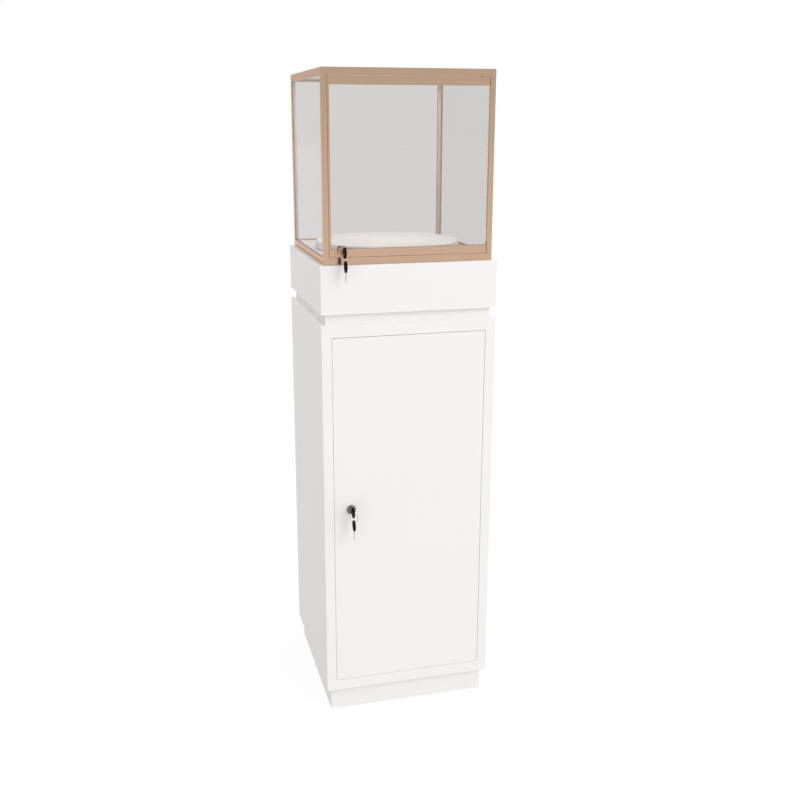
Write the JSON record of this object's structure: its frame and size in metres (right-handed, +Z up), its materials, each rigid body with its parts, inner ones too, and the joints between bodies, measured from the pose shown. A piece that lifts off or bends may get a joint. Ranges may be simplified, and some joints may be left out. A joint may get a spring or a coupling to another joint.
{
  "type": "pedestal display case",
  "caption": "White square pedestal with a locked cabinet, a shadow gap, and a framed glass case on top that has a locked glass door and a turntable.",
  "frame": {"origin": "middle of the plinth's footprint, on the floor", "axes": "+X to the right as seen from the front, -Y out of the front with both doors, +Z up"},
  "size_m": [0.4, 0.4405, 1.48],
  "materials": {
    "white_lacquered_board": "satin lacquer",
    "champagne_anodised": "fine satin anodised",
    "clear_glass": "polished",
    "steel": "brushed",
    "chrome": "polished",
    "brass": "turned",
    "black_plastic": "moulded"
  },
  "bodies": {
    "pedestal": {"plinth_front_board": "white_lacquered_board", "plinth_back_board": "white_lacquered_board", "plinth_side_boards": "white_lacquered_board", "cabinet_floor": "white_lacquered_board", "cabinet_left_side": "white_lacquered_board", "cabinet_right_side": "white_lacquered_board", "cabinet_back": "white_lacquered_board", "cabinet_top": "white_lacquered_board", "left_stile": "white_lacquered_board", "right_stile": "white_lacquered_board", "top_rail": "white_lacquered_board", "bottom_rail": "white_lacquered_board", "door_stop": "white_lacquered_board", "door_pivot_bushes": "brass", "shadow_gap_board": "white_lacquered_board", "box_floor": "white_lacquered_board", "box_front": "white_lacquered_board", "box_back": "white_lacquered_board", "box_side_boards": "white_lacquered_board", "box_deck": "white_lacquered_board", "case_front_posts": "champagne_anodised", "case_rear_posts": "champagne_anodised", "case_front_rails": "champagne_anodised", "case_back_rails": "champagne_anodised", "case_bottom_side_rails": "champagne_anodised", "case_top_side_rails": "champagne_anodised", "side_glass_panes": "clear_glass", "back_glass": "clear_glass", "roof_panel": "white_lacquered_board", "display_floor": "white_lacquered_board", "glass_door_bushes": "brass", "glass_door_stop": "champagne_anodised", "bearing_lower_race": "steel", "bearing_screws": "steel", "bearing_balls": "chrome"},
    "turntable": {"bearing_upper_race": "steel", "turntable_disc": "white_lacquered_board"},
    "cabinet_door_leaf": {"cabinet_door": "white_lacquered_board", "door_pivot_pins": "steel", "cabinet_lock_body": "chrome", "cabinet_lock_nut": "steel"},
    "cabinet_lock_core": {"cabinet_lock_plug": "chrome", "cabinet_lock_cam": "steel", "cabinet_lock_cam_screw": "steel", "cabinet_key": "black_plastic"},
    "cabinet_spare": {"cabinet_key_ring": "steel", "cabinet_spare_key": "black_plastic"},
    "glass_door_leaf": {"glass_door_pane": "clear_glass", "glass_door_top_rail": "champagne_anodised", "glass_door_bottom_rail": "champagne_anodised", "glass_door_stile": "champagne_anodised", "glass_door_pins": "steel", "case_lock_body": "champagne_anodised", "case_lock_nut": "steel"},
    "case_lock_core": {"case_lock_plug": "champagne_anodised", "case_lock_cam": "steel", "case_lock_cam_screw": "steel", "case_key": "black_plastic"},
    "case_spare": {"case_key_ring": "steel", "case_spare_key": "black_plastic"}
  },
  "joints": [
    {"name": "cabinet_door_hinge", "type": "hinge", "parent": "pedestal", "child": "cabinet_door_leaf", "pos_m": [0.15064, -0.194, 0.4995], "axis": [0, 0, 1], "range_deg": [0, 110]},
    {"name": "cabinet_lock_turn", "type": "hinge", "parent": "cabinet_door_leaf", "child": "cabinet_lock_core", "pos_m": [-0.1375, -0.2, 0.515], "axis": [0, 1, 0], "range_deg": [0, 90]},
    {"name": "cabinet_spare_key_swing", "type": "hinge", "parent": "cabinet_lock_core", "child": "cabinet_spare", "pos_m": [-0.1375, -0.2285, 0.515], "axis": [-1, 0, 0], "range_deg": [-15, 75]},
    {"name": "glass_door_hinge", "type": "hinge", "parent": "pedestal", "child": "glass_door_leaf", "pos_m": [0.16071, -0.185, 1.277], "axis": [0, 0, 1], "range_deg": [0, 110]},
    {"name": "case_lock_turn", "type": "hinge", "parent": "glass_door_leaf", "child": "case_lock_core", "pos_m": [-0.149, -0.19, 1.103], "axis": [0, 1, 0], "range_deg": [0, 90]},
    {"name": "case_spare_key_swing", "type": "hinge", "parent": "case_lock_core", "child": "case_spare", "pos_m": [-0.149, -0.222, 1.103], "axis": [-1, 0, 0], "range_deg": [-15, 75]},
    {"name": "turntable_spin", "type": "hinge", "parent": "pedestal", "child": "turntable", "pos_m": [0, 0, 1.091], "axis": [0, 0, 1], "continuous": true}
  ]
}
